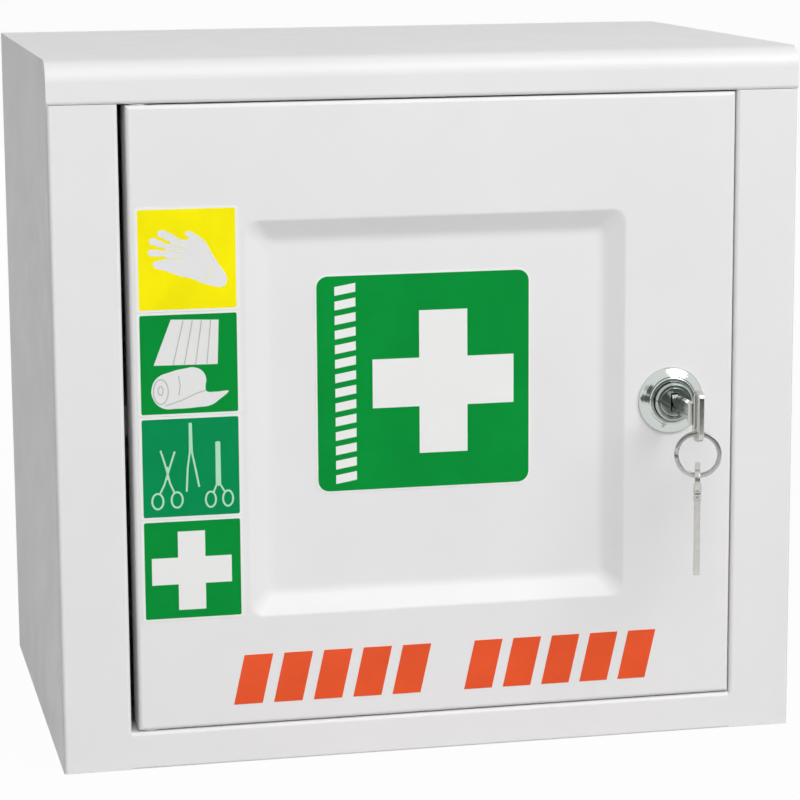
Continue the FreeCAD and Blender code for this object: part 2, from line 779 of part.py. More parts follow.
save("lock_body", lock_body())
save("lock_rosette", lock_rosette())
save("lock_washer", ring_of(washer_radius, front + sheet, front + sheet + washer_thickness))
save("lock_nut", lock_nut())
save("lock_plug", lock_plug())
save("lock_cam", lock_cam())
save("cam_screw", cam_screw())
save("key", key())
save("key_ring", key_ring())
save("spare_key", spare_key())

save("first_aid_label", large_label())
for row, name in enumerate(("cross_label", "instruments_label", "dressings_label", "glove_label")):
    save(name, small_label(row))
save("door_marks", *door_marks())
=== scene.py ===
# %% [markdown]
# # Dressing a steel first aid cabinet
# The cabinet is a small box of folded and painted sheet steel with one door, a cam lock, two keys
# on a split ring and a few labels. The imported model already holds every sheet, pin and screw at its
# real size, so this lesson leaves the big sheets where they are and adds what a solid model lacks:
# paint that looks sprayed, plated metal, printed vinyl, and small parts with soft edges.

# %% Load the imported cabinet
import json
import math

import bmesh
import bpy
from mathutils import Matrix, Vector


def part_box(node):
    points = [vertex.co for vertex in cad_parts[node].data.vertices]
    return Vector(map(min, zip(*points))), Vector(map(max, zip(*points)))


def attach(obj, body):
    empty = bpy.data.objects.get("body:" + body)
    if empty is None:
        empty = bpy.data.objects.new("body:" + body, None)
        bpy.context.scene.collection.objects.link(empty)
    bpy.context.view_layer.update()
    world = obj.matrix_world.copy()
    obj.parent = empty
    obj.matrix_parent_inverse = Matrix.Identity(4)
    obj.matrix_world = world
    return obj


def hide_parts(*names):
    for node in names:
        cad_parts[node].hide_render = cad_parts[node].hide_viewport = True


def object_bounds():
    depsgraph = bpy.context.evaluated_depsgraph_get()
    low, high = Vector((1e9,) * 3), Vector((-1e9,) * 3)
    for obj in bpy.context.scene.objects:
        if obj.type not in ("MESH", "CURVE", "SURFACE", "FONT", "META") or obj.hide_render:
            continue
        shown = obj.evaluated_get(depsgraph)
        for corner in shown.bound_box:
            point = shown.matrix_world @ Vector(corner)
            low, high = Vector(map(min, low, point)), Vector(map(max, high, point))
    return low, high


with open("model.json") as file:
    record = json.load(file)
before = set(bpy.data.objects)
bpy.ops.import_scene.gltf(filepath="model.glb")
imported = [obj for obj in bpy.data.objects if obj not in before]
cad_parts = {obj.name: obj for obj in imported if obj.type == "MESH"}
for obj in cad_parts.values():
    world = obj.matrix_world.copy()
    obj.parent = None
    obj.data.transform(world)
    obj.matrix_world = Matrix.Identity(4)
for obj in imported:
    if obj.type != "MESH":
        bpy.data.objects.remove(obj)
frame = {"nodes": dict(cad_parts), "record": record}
cad_low, cad_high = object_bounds()
nodes = frame["nodes"]
record = frame["record"]
bodies = record["behaviour"]["bodies"]
body_of = {node: body for body, members in bodies.items() for node in members}
slot_of = {part["node"]: part["material_slot"] for part in record["subparts"]}
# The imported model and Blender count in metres. Small sizes are written in millimetres, times MM.
MM = 0.001


def size_in_mm(low, high):
    """How wide, deep and high a box is, in millimetres."""
    return [round((end - start) / MM, 1) for start, end in zip(low, high)]


print("nodes", len(nodes), "size in mm", size_in_mm(cad_low, cad_high))

# %% [markdown]
# ## Camera
# The photograph was taken from the left of the cabinet and a little above it, with a long lens, so
# upright edges stay nearly parallel. A camera is three directions and a place: forward from a yaw
# and a pitch, right square to it, and up from those two. Writing them as a matrix avoids any
# tracking constraint.

# %% Camera at the photograph's angle
CAMERA_PLACE = Vector((-0.2546, -1.3055, 0.2108))
CAMERA_YAW, CAMERA_PITCH, CAMERA_ROLL = 12.29, -10.36, 0.37
CAMERA_LENS, SENSOR_WIDTH = 131.04, 36


def camera_turn(yaw, pitch, roll):
    """Turns a camera from degrees: yaw to the right of +Y, pitch up, roll clockwise."""
    yaw, pitch, roll = math.radians(yaw), math.radians(pitch), math.radians(roll)
    forward = Vector((math.sin(yaw) * math.cos(pitch),
                      math.cos(yaw) * math.cos(pitch),
                      math.sin(pitch)))
    level = Vector((math.cos(yaw), -math.sin(yaw), 0))
    up = level.cross(forward)
    right = math.cos(roll) * level - math.sin(roll) * up
    top = math.sin(roll) * level + math.cos(roll) * up
    return Matrix((right, top, -forward)).transposed()


camera = bpy.data.objects.new("camera", bpy.data.cameras.new("camera"))
camera.data.lens = CAMERA_LENS
camera.data.sensor_width = SENSOR_WIDTH
turn = camera_turn(CAMERA_YAW, CAMERA_PITCH, CAMERA_ROLL)
camera.matrix_world = Matrix.Translation(CAMERA_PLACE) @ turn.to_4x4()
bpy.context.scene.collection.objects.link(camera)
bpy.context.scene.camera = camera
bpy.context.scene.view_settings.view_transform = "Standard"
print("camera lens in mm", CAMERA_LENS)

# %% [markdown]
# ## Helpers for node trees
# Every finish in this lesson is a small tree of shader nodes. Adding a node, setting its values and
# linking its sockets are three steps that always come together, so one helper does all three. A
# socket is given a number, a colour or the output of an earlier node. Three shorter helpers build
# on it for what comes up again and again: arithmetic on two values, a mix of two colours, and a
# soft fade from one to zero.

# %% One call for each node


def add(tree, kind, sockets=None, **settings):
    """Adds a shader node. Sockets are named or numbered, and take a value or another output."""
    made = tree.nodes.new("ShaderNode" + kind)
    for name, value in settings.items():
        setattr(made, name, value)
    for name, value in (sockets or {}).items():
        if isinstance(value, bpy.types.NodeSocket):
            tree.links.new(value, made.inputs[name])
        else:
            made.inputs[name].default_value = value
    return made


def calc(tree, operation, first, second):
    """The output of a Math node with two values."""
    return add(tree, "Math", {0: first, 1: second}, operation=operation).outputs[0]


def mixed(tree, share, first, second):
    """The output of a mix that goes from the first colour to the second with the share."""
    sockets = {"Factor": share, "A": first, "B": second}
    return add(tree, "Mix", sockets, data_type="RGBA").outputs["Result"]


def fade(tree, value, start, end):
    """The output of a soft step that falls from one to zero as the value goes from start to end."""
    sockets = {"Value": value, "From Min": start, "From Max": end, "To Min": 1.0, "To Max": 0.0}
    return add(tree, "MapRange", sockets, interpolation_type="SMOOTHSTEP").outputs[0]


# %% [markdown]
# ## The studio around the cabinet
# Chrome and printed vinyl look like what stands around them. The photograph's lock is a mirror that
# shows a dark room behind the camera and bright walls elsewhere, and the same dark room keeps the
# green labels deep. The world gives each kind of ray its own answer: the camera sees plain white,
# glossy rays see white walls with a dark room in front and two dark openings beside it, and rays
# that only carry light get a low even fill. Room and openings are soft-edged patches round a
# direction, measured with a dot product.

# %% World with a dark room in front
WORLD_FILL = 0.18
WHITE = (1, 1, 1, 1)
ROOM_COLOUR = (0.095, 0.120, 0.105, 1)
# Degrees from a patch's direction to the start and the end of its soft edge.
ROOM_INNER, ROOM_OUTER = 24, 40
OPENINGS = (((-0.42, -0.88, 0.20), 7, 10), ((-0.55, -0.82, -0.12), 8, 12))
DOOR_MIDDLE = Vector((0, cad_low.y, 0))
sight = (DOOR_MIDDLE - CAMERA_PLACE).normalized()
mirrored = Vector((sight.x, -sight.y, sight.z))
world = bpy.data.worlds.new("studio")
bpy.context.scene.world = world
world.use_nodes = True
tree = world.node_tree
tree.nodes.clear()
towards = add(tree, "TexCoord").outputs["Generated"]


def patch(direction, inner_degrees, outer_degrees):
    """One where a direction is outside a round patch of the world and zero inside it."""
    facing = add(tree, "VectorMath", {0: towards, 1: Vector(direction).normalized()},
                 operation="DOT_PRODUCT").outputs["Value"]
    outer, inner = math.cos(math.radians(outer_degrees)), math.cos(math.radians(inner_degrees))
    return fade(tree, facing, outer, inner)


walls = patch(mirrored, ROOM_INNER, ROOM_OUTER)
for opening in OPENINGS:
    walls = calc(tree, "MULTIPLY", walls, patch(*opening))
ray = add(tree, "LightPath").outputs
white_share = calc(tree, "MAXIMUM", walls, calc(tree, "SUBTRACT", 1.0, ray["Is Glossy Ray"]))
colour = mixed(tree, white_share, ROOM_COLOUR, WHITE)
shown = calc(tree, "MAXIMUM", ray["Is Camera Ray"], ray["Is Glossy Ray"])
shown = calc(tree, "MAXIMUM", shown, ray["Is Transmission Ray"])
strength = add(tree, "MapRange", {"Value": shown, "To Min": WORLD_FILL, "To Max": 1.0})
background = add(tree, "Background", {"Color": colour, "Strength": strength.outputs[0]})
add(tree, "OutputWorld", {"Surface": background.outputs[0]})
print("world nodes", len(tree.nodes))

# %% [markdown]
# ## Lamps
# The slopes of the door's pressed square say where the light came from: the lower and left slopes
# are bright, the upper and right ones grey, and the rolled nose of the top is the brightest place
# of all. So the light comes from about thirty degrees above, mostly from the front. A large lamp at
# the front right gives the soft shadow that the lock and the keys throw down to the left, and a
# wider one in front fills it in. The wide one is hidden from glossy rays, because the chrome shows
# a dark room there. A third lamp stands low behind the cabinet, where it can't reach the front, and
# only keeps the rear from being dull. Glossy rays don't see it either, or it would lie as a white
# streak on the top.

# %% Softboxes
TARGET = Vector((0, -0.15, 0))
# Name, place, width and height in metres, watts, and whether glossy rays see the lamp.
LAMPS = (
    ("key_softbox", (1.29, -1.92, 1.83), 1.55, 1.55, 39.3, True),
    ("front_softbox", (-0.13, -2.44, 1.22), 1.8, 1.6, 34.0, False),
    ("rear_softbox", (0.0, 2.4, 0.3), 1.6, 0.8, 22.0, False),
)


def softbox(name, place, wide, high, watts, glossy):
    """A rectangular lamp that faces the middle of the cabinet."""
    data = bpy.data.lights.new(name, "AREA")
    data.shape = "RECTANGLE"
    data.size, data.size_y = wide, high
    data.energy = watts
    lamp = bpy.data.objects.new(name, data)
    lamp.location = place
    lamp.rotation_euler = (TARGET - Vector(place)).to_track_quat("-Z", "Y").to_euler()
    lamp.visible_glossy = glossy
    bpy.context.scene.collection.objects.link(lamp)


for lamp in LAMPS:
    softbox(*lamp)
print("lamps", [lamp[0] for lamp in LAMPS])

# %% [markdown]
# ## Floor
# A pale disc far larger than the view. To the camera it is nearly as bright as the world, so the
# cabinet stands on white, and the small share of real shading keeps the shadow under it. The flat
# faces of the lock and of the key look down at the floor beside the camera, and the photograph
# shows them dark. So glossy rays see the floor turn into the dark room there, and the spare key,
# which hangs lower and looks at the floor nearer by, stays bright.

# %% White floor
FLOOR_RADIUS, FLOOR_SEGMENTS, FLOOR_GAP = 14, 96, 0.5
FLOOR_GREY, FLOOR_GLOW = 0.48, 0.97
WHITE_UNTIL, DARK_FROM = -0.80, -0.90
floor_mesh = bpy.data.meshes.new("floor")
shape = bmesh.new()
bmesh.ops.create_circle(shape, cap_ends=True, segments=FLOOR_SEGMENTS, radius=FLOOR_RADIUS)
bmesh.ops.translate(shape, verts=shape.verts, vec=(0, 0, cad_low.z - FLOOR_GAP * MM))
shape.to_mesh(floor_mesh)
shape.free()
floor = bpy.data.objects.new("floor", floor_mesh)
bpy.context.scene.collection.objects.link(floor)

material = bpy.data.materials.new("white floor")
material.use_nodes = True
tree = material.node_tree
shader = tree.nodes["Principled BSDF"]
shader.inputs["Base Color"].default_value = (FLOOR_GREY, FLOOR_GREY, FLOOR_GREY, 1)
shader.inputs["Roughness"].default_value = 1.0
shader.inputs["Specular IOR Level"].default_value = 0.0
ray = add(tree, "LightPath").outputs
place = add(tree, "SeparateXYZ", {"Vector": add(tree, "TexCoord").outputs["Object"]})
dark = fade(tree, place.outputs["Y"], DARK_FROM, WHITE_UNTIL)
dark = calc(tree, "MULTIPLY", dark, ray["Is Glossy Ray"])
glow = add(tree, "Emission", {"Color": mixed(tree, dark, WHITE, ROOM_COLOUR)})
shown = calc(tree, "MAXIMUM", ray["Is Camera Ray"], ray["Is Glossy Ray"])
share = calc(tree, "MULTIPLY", shown, FLOOR_GLOW)
mix = add(tree, "MixShader", {0: share, 1: shader.outputs[0], 2: glow.outputs[0]})
tree.links.new(mix.outputs[0], tree.nodes["Material Output"].inputs["Surface"])
floor_mesh.materials.append(material)
print("floor nodes", len(tree.nodes))

# %% [markdown]
# ## Words for finishes
# A real surface differs from place to place in three ways: its colour drifts, its gloss drifts, and
# it isn't flat. Each of the next helpers adds one of these from a pattern, so a finish reads as a
# short list. The patterns run on Object coordinates in metres: a scale of 1000 gives features of
# about a millimetre. Noise seldom reaches black or white, so colour and gloss follow its middle
# range, stretched to the full width. What is the same all over the surface is set on the shader's
# own sockets.

# %% Helpers for finishes
MIDDLE_LOW, MIDDLE_HIGH = 0.3, 0.7


def surface(name, colour, roughness, metallic=0.0, specular=0.5):
    """A new material with plain values on its shader, returned with its tree and shader."""
    made = bpy.data.materials.new(name)
    made.use_nodes = True
    shader = made.node_tree.nodes["Principled BSDF"]
    shader.inputs["Base Color"].default_value = (*colour, 1)
    shader.inputs["Roughness"].default_value = roughness
    shader.inputs["Metallic"].default_value = metallic
    shader.inputs["Specular IOR Level"].default_value = specular
    return made, made.node_tree, shader


def grain(tree, scale, stretch=(1, 1, 1), detail=2.0):
    """Noise on Object coordinates. A small stretch value draws the noise out along that axis."""
    place = add(tree, "TexCoord").outputs["Object"]
    place = add(tree, "Mapping", {"Vector": place, "Scale": stretch}).outputs[0]
    return add(tree, "TexNoise", {"Vector": place, "Scale": scale, "Detail": detail}).outputs[0]


def crystals(tree, scale):
    """Random grey for each cell of a Voronoi pattern."""
    place = add(tree, "TexCoord").outputs["Object"]
    cells = add(tree, "TexVoronoi", {"Vector": place, "Scale": scale}).outputs["Color"]
    return add(tree, "SeparateColor", {"Color": cells}).outputs[0]


def shade(colour, factor):
    """A colour made darker or paler, with no part above one."""
    return [min(factor * part, 1.0) for part in colour]


def stretched(tree, pattern, low=0.0, high=1.0):
    """The pattern's middle range, stretched to run from low to high."""
    sockets = {"Value": pattern, "From Min": MIDDLE_LOW, "From Max": MIDDLE_HIGH,
               "To Min": low, "To Max": high}
    return add(tree, "MapRange", sockets).outputs[0]


def drift_colour(tree, shader, pattern, low, high):
    """Lets the base colour run from low to high with the pattern."""
    colour = mixed(tree, stretched(tree, pattern), (*low, 1), (*high, 1))
    tree.links.new(colour, shader.inputs["Base Color"])


def drift_gloss(tree, shader, pattern, low, high):
    """Lets the roughness run from low to high with the pattern."""
    tree.links.new(stretched(tree, pattern, low, high), shader.inputs["Roughness"])


def relief(tree, shader, pattern, height, strength=1.0):
    """Raises the surface by up to height millimetres where the pattern is white."""
    bump = add(tree, "Bump", {"Height": pattern, "Distance": height * MM, "Strength": strength})
    tree.links.new(bump.outputs[0], shader.inputs["Normal"])


# %% [markdown]
# ## Powder coat
# The sheets are sprayed with a pale grey-white powder that melts in an oven. It flows out almost
# flat, but a fine orange peel stays, a millimetre or two across and a few hundredths of a
# millimetre high, and the gloss is a little uneven. The colour hardly changes, so its drift is kept
# to about one part in a hundred.

# %% Powder coat for the body, the door and the shelf


def powder_coat(name, colour):
    """Sprayed paint: a broad faint drift of colour, uneven gloss and a fine orange peel."""
    made, tree, shader = surface(name, colour, roughness=0.38, specular=0.4)
    clouds = grain(tree, scale=16, detail=3.0)
    drift_colour(tree, shader, clouds, shade(colour, 0.985), shade(colour, 1.012))
    drift_gloss(tree, shader, grain(tree, scale=90), low=0.34, high=0.43)
    relief(tree, shader, grain(tree, scale=620, detail=1.0), height=0.03, strength=0.22)
    return made


# %% [markdown]
# ## Plated and bare metal
# The hardware has five metals. Chrome on the lock's rosette is a mirror with faint smears. The
# lock's housing and plug are a darker polished steel. The zinc on the hinge plates, the pins and
# the nut is milky, with crystals a few millimetres wide. The keys are nickel over brass, scratched
# along their length from use, and the split ring is drawn steel wire, rubbed by the keys.

# %% Metals


def chrome(name, colour):
    """A mirror with faint smears."""
    made, tree, shader = surface(name, colour, roughness=0.08, metallic=1.0)
    drift_gloss(tree, shader, grain(tree, scale=220, detail=4.0), low=0.05, high=0.15)
    relief(tree, shader, grain(tree, scale=900), height=0.004, strength=0.3)
    return made


def zinc(name, colour):
    """Milky plating whose crystals differ in colour and height."""
    made, tree, shader = surface(name, colour, roughness=0.36, metallic=1.0)
    pattern = crystals(tree, scale=420)
    drift_colour(tree, shader, pattern, shade(colour, 0.86), colour)
    drift_gloss(tree, shader, grain(tree, scale=500, detail=3.0), low=0.28, high=0.46)
    relief(tree, shader, pattern, height=0.01, strength=0.3)
    return made


def worn_metal(name, colour, low, high, stretch):
    """A polished metal with hair scratches drawn out along the axis whose stretch is small."""
    made, tree, shader = surface(name, colour, (low + high) / 2, metallic=1.0)
    rubbed = grain(tree, scale=350, detail=3.0)
    drift_colour(tree, shader, rubbed, shade(colour, 0.94), colour)
    scratches = grain(tree, scale=3000, stretch=stretch, detail=3.0)
    drift_gloss(tree, shader, scratches, low, high)
    relief(tree, shader, scratches, height=0.002, strength=0.3)
    return made


# %% [markdown]
# ## Printed vinyl, rubber and nylon
# The labels are white vinyl with a silk-screened colour, and the screen leaves a faint even grain
# in the ink. Ink is less shiny than the door's paint, so little white from the room washes it out.
# The buffers are matt black rubber with a bloom, and the hinge bushes are moulded nylon, which lets
# some light in under its skin.

# %% Vinyl, ink, rubber and nylon


def ink(name, colour, spread=0.06):
    """Printed colour with the faint even grain of the screen."""
    made, tree, shader = surface(name, colour, roughness=0.42, specular=0.04)
    clouds = grain(tree, scale=45, detail=4.0)
    drift_colour(tree, shader, clouds, shade(colour, 1 - spread), shade(colour, 1 + spread))
    weave = grain(tree, scale=2600, detail=1.0)
    drift_gloss(tree, shader, weave, low=0.36, high=0.5)
    relief(tree, shader, weave, height=0.006, strength=0.4)
    return made


def rubber(name, colour):
    """Matt rubber with a paler bloom in patches."""
    made, tree, shader = surface(name, colour, roughness=0.75, specular=0.3)
    bloom = grain(tree, scale=260, detail=4.0)
    drift_colour(tree, shader, bloom, colour, shade(colour, 2.2))
    drift_gloss(tree, shader, grain(tree, scale=700), low=0.62, high=0.85)
    relief(tree, shader, grain(tree, scale=1800), height=0.03, strength=0.5)
    return made


def nylon(name, colour):
    """Moulded nylon: light goes in a little way, and fine draw marks run along the bush."""
    made, tree, shader = surface(name, colour, roughness=0.45, specular=0.5)
    shader.inputs["Subsurface Weight"].default_value = 0.25
    shader.inputs["Subsurface Scale"].default_value = 0.8 * MM
    drift_colour(tree, shader, grain(tree, scale=300), shade(colour, 0.92), colour)
    drift_gloss(tree, shader, grain(tree, scale=900), low=0.38, high=0.55)
    marks = grain(tree, scale=4000, stretch=(1, 1, 0.1))
    relief(tree, shader, marks, height=0.01, strength=0.3)
    return made


PAINT = (0.80, 0.79, 0.795)
FINISHES = {
    "body_paint": powder_coat("body_powder_coat", PAINT),
    "door_paint": powder_coat("door_powder_coat", PAINT),
    "shelf_paint": powder_coat("shelf_powder_coat", (0.78, 0.77, 0.775)),
    "zinc_steel": zinc("bright_zinc", (0.66, 0.67, 0.69)),
    "bush_nylon": nylon("bush_nylon", (0.80, 0.79, 0.77)),
    "buffer_rubber": rubber("buffer_rubber", (0.030, 0.030, 0.031)),
    "lock_chrome": chrome("lock_chrome", (0.60, 0.635, 0.615)),
    "plug_steel": worn_metal("plug_steel", (0.42, 0.46, 0.44),
                             low=0.06, high=0.11, stretch=(1, 1, 1)),
    "key_nickel": worn_metal("key_nickel", (0.60, 0.59, 0.565),
                             low=0.10, high=0.18, stretch=(1, 0.15, 0.15)),
    "ring_steel": worn_metal("ring_steel", (0.52, 0.52, 0.51),
                             low=0.08, high=0.15, stretch=(0.3, 0.3, 0.3)),
    "green_vinyl": ink("green_ink", (0.003, 0.270, 0.040)),
    "sea_green_vinyl": ink("sea_green_ink", (0.003, 0.262, 0.082)),
    "yellow_vinyl": ink("yellow_ink", (0.93, 0.83, 0.004)),
    "orange_vinyl": ink("orange_ink", (0.80, 0.098, 0.030)),
}
WHITE_VINYL = ink("white_vinyl", (0.83, 0.835, 0.825), spread=0.01)
for node, slot in slot_of.items():
    nodes[node].data.materials.clear()
    nodes[node].data.materials.append(FINISHES[slot])
print("finishes", len(FINISHES), "on", len(slot_of), "nodes")

# %% [markdown]
# ## From shape to piece
# Every new piece ends the same way: doubles merged, faces turned outwards, smooth shading that
# breaks at real edges, a finish, and a body to ride on. Unless another is given, the finish is the
# one of the node's material slot, and when the piece takes a CAD node's place it also hides the
# node. Weighted normals let the large face beside a narrow bevel keep its flat shading, so that a
# polished face reflects like a mirror right to its edge.

# %% Make a finished piece
# Points closer than this, in millimetres, become one.
DOUBLES = 0.0005


def piece_of(name, shape, node, finish=None, replace=True, smooth_degrees=50):
    """Turns a bmesh into a piece that rides with a node's body and, if asked, replaces the node."""
    bmesh.ops.remove_doubles(shape, verts=shape.verts, dist=DOUBLES * MM)
    bmesh.ops.recalc_face_normals(shape, faces=shape.faces)
    mesh = bpy.data.meshes.new(name)
    shape.to_mesh(mesh)
    shape.free()
    mesh.shade_smooth()
    mesh.set_sharp_from_angle(angle=math.radians(smooth_degrees))
    mesh.materials.append(finish or FINISHES[slot_of[node]])
    piece = bpy.data.objects.new(name, mesh)
    bpy.context.scene.collection.objects.link(piece)
    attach(piece, body_of[node])
    if replace:
        weighted = piece.modifiers.new("weighted_normals", "WEIGHTED_NORMAL")
        weighted.keep_sharp = True
        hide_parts(node)
    return piece


# %% [markdown]
# ## Soft edges on small hardware
# Sawn, stamped or moulded parts never have perfectly sharp edges: a tenth of a millimetre of
# rounding is what catches the light. The solids of the hinge plates, pins, nuts and screws have the
# right form already, so a copy of each is merged, its flat triangles are dissolved into whole
# faces, and its hard edges are bevelled. The CAD mesh itself stays as it was packed. The bevel
# operator's defaults differ from the editor's, so one helper gives every setting, and later pieces
# use it too.

# %% Bevelled copies of the hardware
# Bevel widths in millimetres.
SOFT_EDGES = {
    "upper_frame_hinge_plate": 0.25, "lower_frame_hinge_plate": 0.25,
    "upper_door_hinge_plate": 0.25, "lower_door_hinge_plate": 0.25,
    "upper_hinge_pin": 0.2, "lower_hinge_pin": 0.2,
    "upper_hinge_bush": 0.12, "lower_hinge_bush": 0.12,
    "lock_washer": 0.12, "lock_nut": 0.3, "lock_cam": 0.3, "cam_screw": 0.2,
    "lock_plug": 0.12, "door_buffers": 0.6, "shelf_brackets": 0.2,
}
COPY_DOUBLES, FLAT_DEGREES, HARD_DEGREES = 0.002, 0.5, 38


def bevel(shape, geom, width, segments, affect="EDGES"):
    """Rounds edges, or corners when VERTICES are affected, by width millimetres."""
    bmesh.ops.bevel(shape, geom=geom, offset=width * MM, segments=segments, profile=0.5,
                    affect=affect, clamp_overlap=True, material=-1)


def hard_edges(shape, degrees):
    """The edges where two faces turn by more than an angle."""
    return [edge for edge in shape.edges
            if edge.is_manifold and edge.calc_face_angle() > math.radians(degrees)]


def softened(node, width):
    """A merged copy of a node with its hard edges bevelled by width millimetres."""
    shape = bmesh.new()
    shape.from_mesh(nodes[node].data)
    bmesh.ops.remove_doubles(shape, verts=shape.verts, dist=COPY_DOUBLES * MM)
    bmesh.ops.dissolve_limit(shape, angle_limit=math.radians(FLAT_DEGREES),
                             verts=shape.verts, edges=shape.edges)
    bevel(shape, hard_edges(shape, HARD_DEGREES), width, segments=2)
    return shape


for node, width in SOFT_EDGES.items():
    piece_of(node + "_edged", softened(node, width), node)
print("bevelled", len(SOFT_EDGES))

# %% [markdown]
# ## Turned parts of the lock
# The lock's housing and its rosette are turned parts. A closed outline of radius and depth, with
# its corners rounded while it is still a wire, is spun once round the lock's axis. Depth runs into
# the door from its front face, so everything that stands proud has a negative depth.

# %% Spin an outline round the lock's axis
rosette_low, rosette_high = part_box("lock_rosette")
LOCK_X = (rosette_low.x + rosette_high.x) / 2
LOCK_Z = (rosette_low.z + rosette_high.z) / 2
DOOR_FRONT = rosette_high.y


def turned(outline, rounding, steps=96):
    """Spins a closed outline of (radius, depth) corners in millimetres round the lock's axis."""
    shape = bmesh.new()
    corners = [shape.verts.new((LOCK_X + radius * MM, DOOR_FRONT + depth * MM, LOCK_Z))
               for radius, depth in outline]
    for start, end in zip(corners, corners[1:] + corners[:1]):
        shape.edges.new((start, end))
    bevel(shape, corners, rounding, segments=3, affect="VERTICES")
    bmesh.ops.spin(shape, geom=shape.verts[:] + shape.edges[:], cent=(LOCK_X, 0, LOCK_Z),
                   axis=(0, 1, 0), angle=2 * math.pi, steps=steps, use_merge=True)
    return shape


# %% [markdown]
# ## Rosette
# A thin chromed cup that dresses the hole in the door. It rises from a rolled rim, swells gently
# and turns down into the head. The outline has a few more corners than the solid's cone, so that
# its reflections bend, and a fine step near the head as pressed rosettes have.

# %% Chromed rosette
ROSETTE_OUTLINE = [
    (13.5, 0.0), (13.5, -0.9), (12.9, -1.55), (11.4, -2.35), (10.0, -2.95), (9.55, -3.0),
    (9.3, -3.4), (8.1, -3.4), (7.95, -3.1), (7.95, -1.4), (8.9, -1.4), (12.3, -1.0),
    (12.6, -0.6), (12.6, 0.0),
]
ROSETTE_ROUNDING = 0.18
shape = turned(ROSETTE_OUTLINE, ROSETTE_ROUNDING)
rosette = piece_of("lock_rosette_chromed", shape, "lock_rosette")
print("rosette faces", len(rosette.data.polygons))

# %% [markdown]
# ## Lock housing
# Head, flange and threaded barrel in one outline. A thread is a helix, but from the side it is only
# a row of ridges a millimetre apart, so plain ridges look the same and close without a seam. The
# barrel has two flats that stop it turning in the door: its points past eight millimetres to either
# side are pressed back to eight.

# %% Lock housing with a threaded, flatted barrel
HEAD_RADIUS, HEAD_DEPTH, HEAD_CHAMFER = 7.8, -6.0, 0.7
FLANGE_RADIUS, FLANGE_DEPTH = 10.5, -1.2
BORE_RADIUS = 6.05
THREAD_RADIUS, THREAD_ROOT, THREAD_PITCH = 9.0, 8.45, 1.0
THREAD_START, BARREL_END, HALF_FLATS = 1.2, 18.7, 8.0
HOUSING_ROUNDING, HOUSING_STEPS = 0.1, 72
outline = [
    (BORE_RADIUS, HEAD_DEPTH), (HEAD_RADIUS - HEAD_CHAMFER, HEAD_DEPTH),
    (HEAD_RADIUS, HEAD_DEPTH + HEAD_CHAMFER), (HEAD_RADIUS, FLANGE_DEPTH),
    (FLANGE_RADIUS, FLANGE_DEPTH), (FLANGE_RADIUS, 0.0), (THREAD_ROOT, 0.0),
]
ridges = int((BARREL_END - THREAD_START) / THREAD_PITCH)
for ridge in range(ridges):
    depth = THREAD_START + ridge * THREAD_PITCH
    outline += [(THREAD_ROOT, depth), (THREAD_RADIUS, depth + THREAD_PITCH / 2)]
outline += [(THREAD_ROOT, BARREL_END), (BORE_RADIUS, BARREL_END)]
shape = turned(outline, HOUSING_ROUNDING, HOUSING_STEPS)
for point in shape.verts:
    if point.co.y > DOOR_FRONT + THREAD_START * MM:
        across = (point.co.x - LOCK_X) / MM
        point.co.x = LOCK_X + max(-HALF_FLATS, min(HALF_FLATS, across)) * MM
housing = piece_of("lock_body_threaded", shape, "lock_body")
print("thread ridges", ridges, "faces", len(housing.data.polygons))

# %% [markdown]
# ## Plates with round corners
# Labels and key bows are plates whose corners are rounded in their own plane. One grid face with
# its four corners bevelled gives that outline, and it is the start of both. It is drawn flat, with
# X to the right and Y up, and turned upright once it is finished.

# %% A rounded plate outline
UPRIGHT = Matrix.Rotation(math.radians(90), 4, "X")


def rounded_face(shape, wide, high, corner, middle=(0.0, 0.0), segments=6):
    """Adds a flat face of wide by high millimetres with round corners."""
    grid = bmesh.ops.create_grid(shape, x_segments=1, y_segments=1, size=0.5)["verts"]
    bmesh.ops.scale(shape, vec=(wide * MM, high * MM, 1), verts=grid)
    bmesh.ops.translate(shape, vec=(middle[0] * MM, middle[1] * MM, 0), verts=grid)
    bevel(shape, grid, corner, segments, affect="VERTICES")


def raised(shape, height):
    """Extrudes flat faces upwards by height metres, and returns the raised corners."""
    grown = bmesh.ops.extrude_face_region(shape, geom=shape.faces[:], use_keep_orig=True)["geom"]
    top = [item for item in grown if isinstance(item, bmesh.types.BMVert)]
    bmesh.ops.translate(shape, verts=top, vec=(0, 0, height))
    return top


def set_upright(shape, node, depth):
    """Turns a flat drawing upright and carries it to a node's middle, at a depth along Y."""
    low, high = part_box(node)
    middle = Vector(((low.x + high.x) / 2, depth, (low.z + high.z) / 2))
    bmesh.ops.transform(shape, matrix=Matrix.Translation(middle) @ UPRIGHT, verts=shape.verts)


# %% [markdown]
# ## Labels
# A label is a white vinyl sticker with its colour printed on, short of the edge all round, and the
# cross is where the printer left the vinyl bare. So each label is two pieces: the sticker, which
# stands for the CAD node, and a thin film of ink with real openings in it. A flat curve fills
# between its loops and leaves inner loops open, which is just what a print with openings needs. Its
# loops are straight runs between their corners, or Bezier loops with automatic handles where a
# drawing is soft.

# %% Sticker and film
STICKER_EDGE = 0.05
FILM_HEIGHT = 0.02


def sticker(node, corner):
    """A white vinyl plate with the node's outline, and a hair of rounding at its front edge."""
    low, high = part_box(node)
    shape = bmesh.new()
    rounded_face(shape, (high.x - low.x) / MM, (high.z - low.z) / MM, corner)
    front = raised(shape, high.y - low.y)
    rim = [edge for edge in shape.edges if all(point in front for point in edge.verts)]
    bevel(shape, rim, STICKER_EDGE, segments=2)
    set_upright(shape, node, high.y)
    return piece_of(node + "_sticker", shape, node, finish=WHITE_VINYL)


